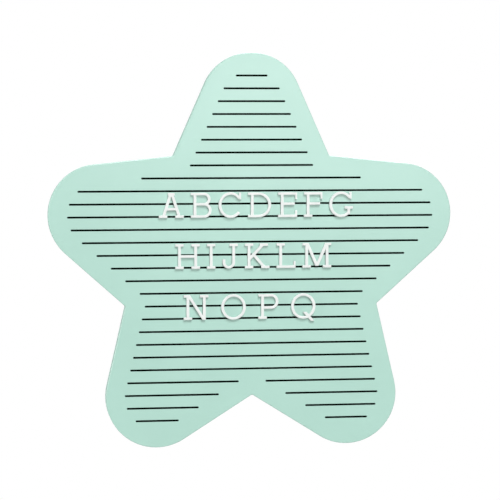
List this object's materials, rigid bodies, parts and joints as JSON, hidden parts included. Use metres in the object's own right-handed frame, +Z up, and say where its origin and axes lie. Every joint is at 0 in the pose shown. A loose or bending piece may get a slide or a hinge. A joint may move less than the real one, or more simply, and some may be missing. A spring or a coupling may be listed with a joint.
{
  "type": "star letter board",
  "caption": "Rounded five-point star letter board with a slotted painted face, white pegged slab-serif characters and a recessed sawtooth hanger.",
  "frame": {"origin": "centre of the star on the board's flat back face", "axes": "+X to the right as the board is read, +Y out of the back towards the wall, +Z up"},
  "size_m": [0.3034, 0.0116, 0.2944],
  "materials": {
    "painted_board": "satin mint paint on fibreboard",
    "backing_board": "black on its front where the slots show it, mint on its edge, bare fibreboard behind",
    "white_plastic": "moulded, semi-matte",
    "plated_steel": "zinc plated"
  },
  "bodies": {
    "root": {"face_panel": "painted_board", "backing_panel": "backing_board", "character_a": "white_plastic", "character_b": "white_plastic", "character_c": "white_plastic", "character_d": "white_plastic", "character_e": "white_plastic", "character_f": "white_plastic", "character_g": "white_plastic", "character_h": "white_plastic", "character_i": "white_plastic", "character_j": "white_plastic", "character_k": "white_plastic", "character_l": "white_plastic", "character_m": "white_plastic", "character_n": "white_plastic", "character_o": "white_plastic", "character_p": "white_plastic", "character_q": "white_plastic", "sawtooth_hanger": "plated_steel", "hanger_nail_left": "plated_steel", "hanger_nail_right": "plated_steel"}
  },
  "joints": []
}
